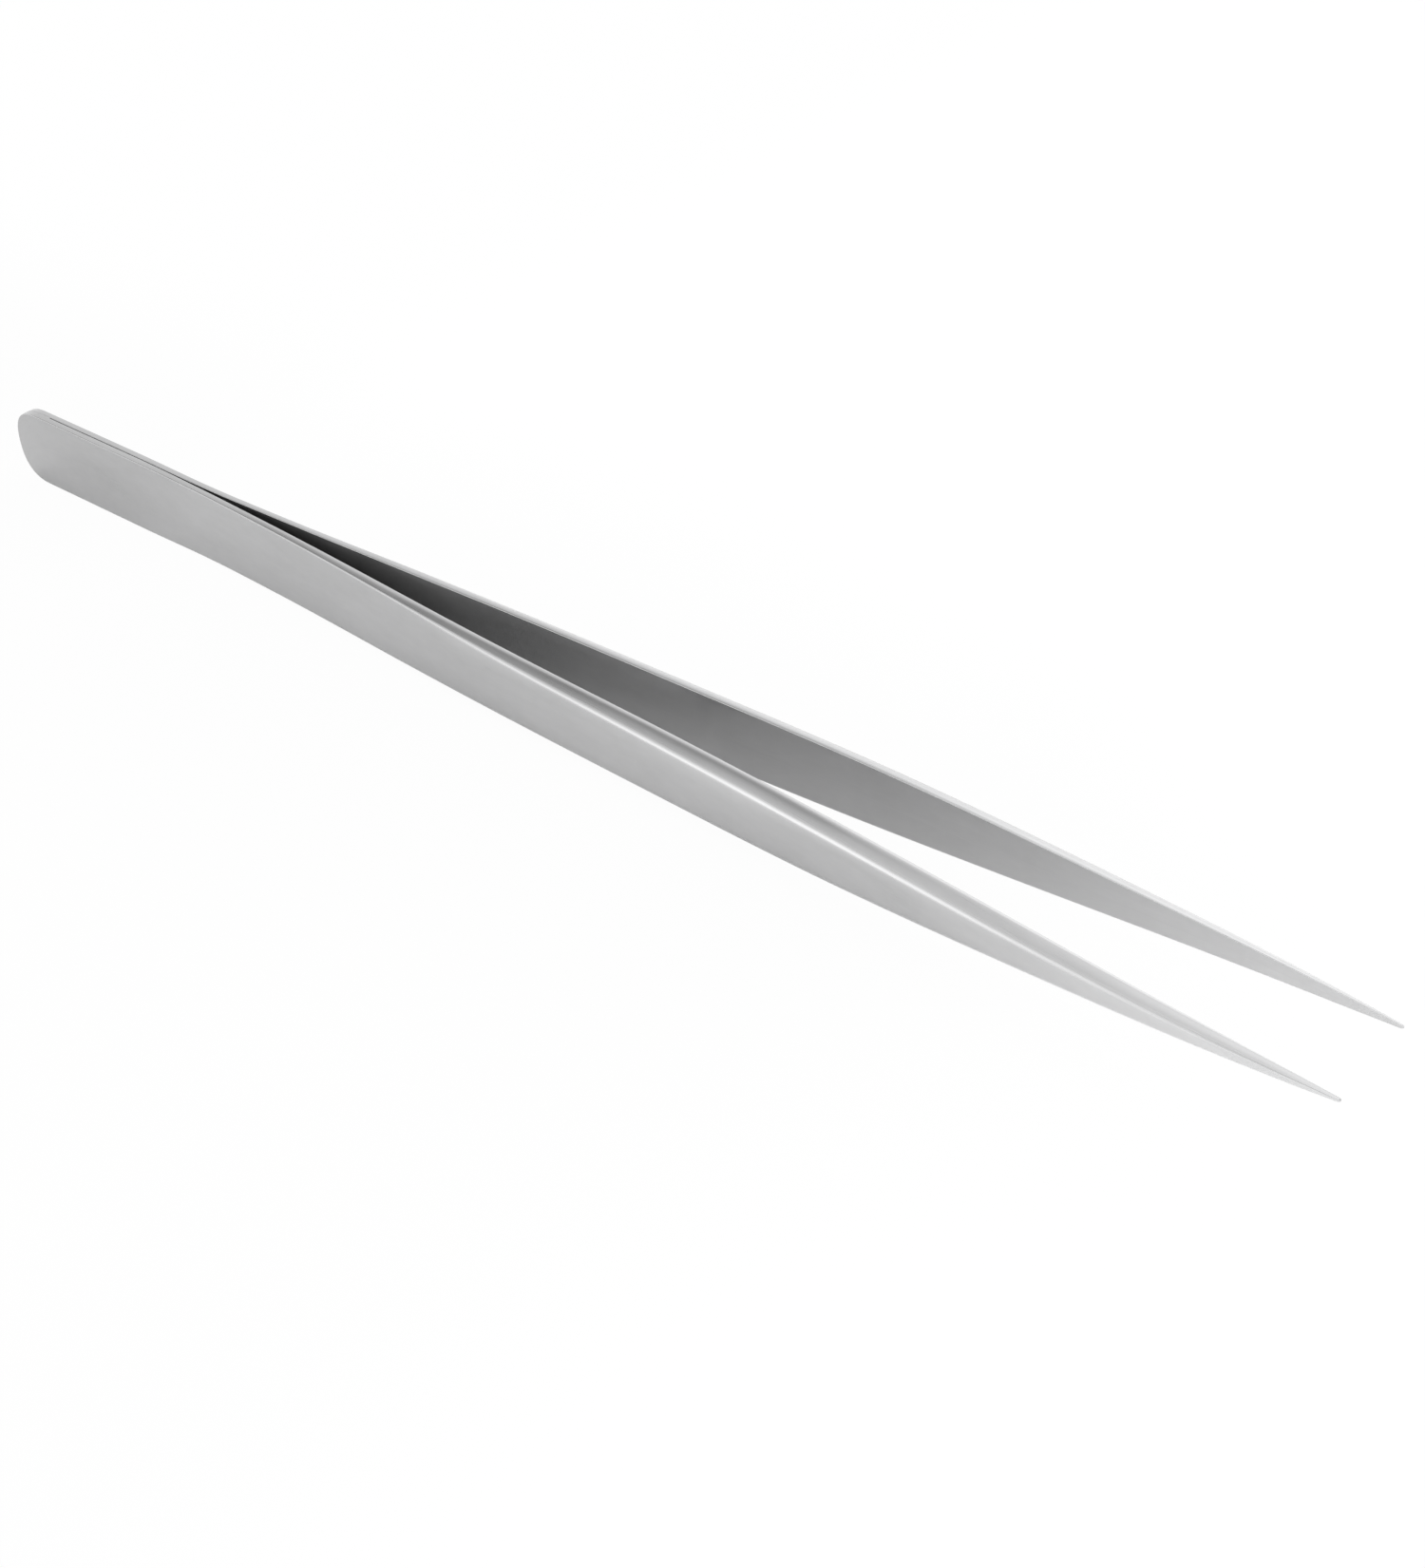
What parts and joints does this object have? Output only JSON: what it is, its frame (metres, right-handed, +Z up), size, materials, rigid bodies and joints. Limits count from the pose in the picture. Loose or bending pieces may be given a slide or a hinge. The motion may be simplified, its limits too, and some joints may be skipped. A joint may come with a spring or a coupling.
{
  "type": "aquascaping tweezers",
  "caption": "Long straight stainless tweezers: spring arms welded at a rounded tail bow apart, taper to needle points and meet when squeezed.",
  "frame": {"origin": "middle of the overall box of the open tweezers, on the plane of the lower blade edges they lie on", "axes": "+X from the tail to the points, +Y towards the left arm in the direction the arms open, +Z up across the width of the blades"},
  "size_m": [0.27, 0.0202, 0.0139],
  "materials": {
    "arm_steel": "fine satin-ground stainless steel",
    "weld_steel": "weld metal, ground flush where it shows"
  },
  "bodies": {
    "tail": {"right_arm_tail": "arm_steel", "left_arm_tail": "arm_steel", "rear_spot_weld": "weld_steel", "front_spot_weld": "weld_steel", "tail_seam_weld": "weld_steel"},
    "right_arm": {"right_arm_blade": "arm_steel"},
    "left_arm": {"left_arm_blade": "arm_steel"}
  },
  "joints": [
    {"name": "right_arm_flex", "type": "hinge", "parent": "tail", "child": "right_arm", "pos_m": [-0.06, -0.00176, 0.00695], "axis": [0, 0, 1], "range_deg": [0, 2.34], "stiffness_Nm_per_rad": 8},
    {"name": "left_arm_flex", "type": "hinge", "parent": "tail", "child": "left_arm", "pos_m": [-0.06, 0.00176, 0.00695], "axis": [0, 0, -1], "range_deg": [0, 2.34], "stiffness_Nm_per_rad": 8}
  ],
  "couplings": [
    {"joint": "left_arm_flex", "follows": "right_arm_flex", "ratio": 1}
  ]
}
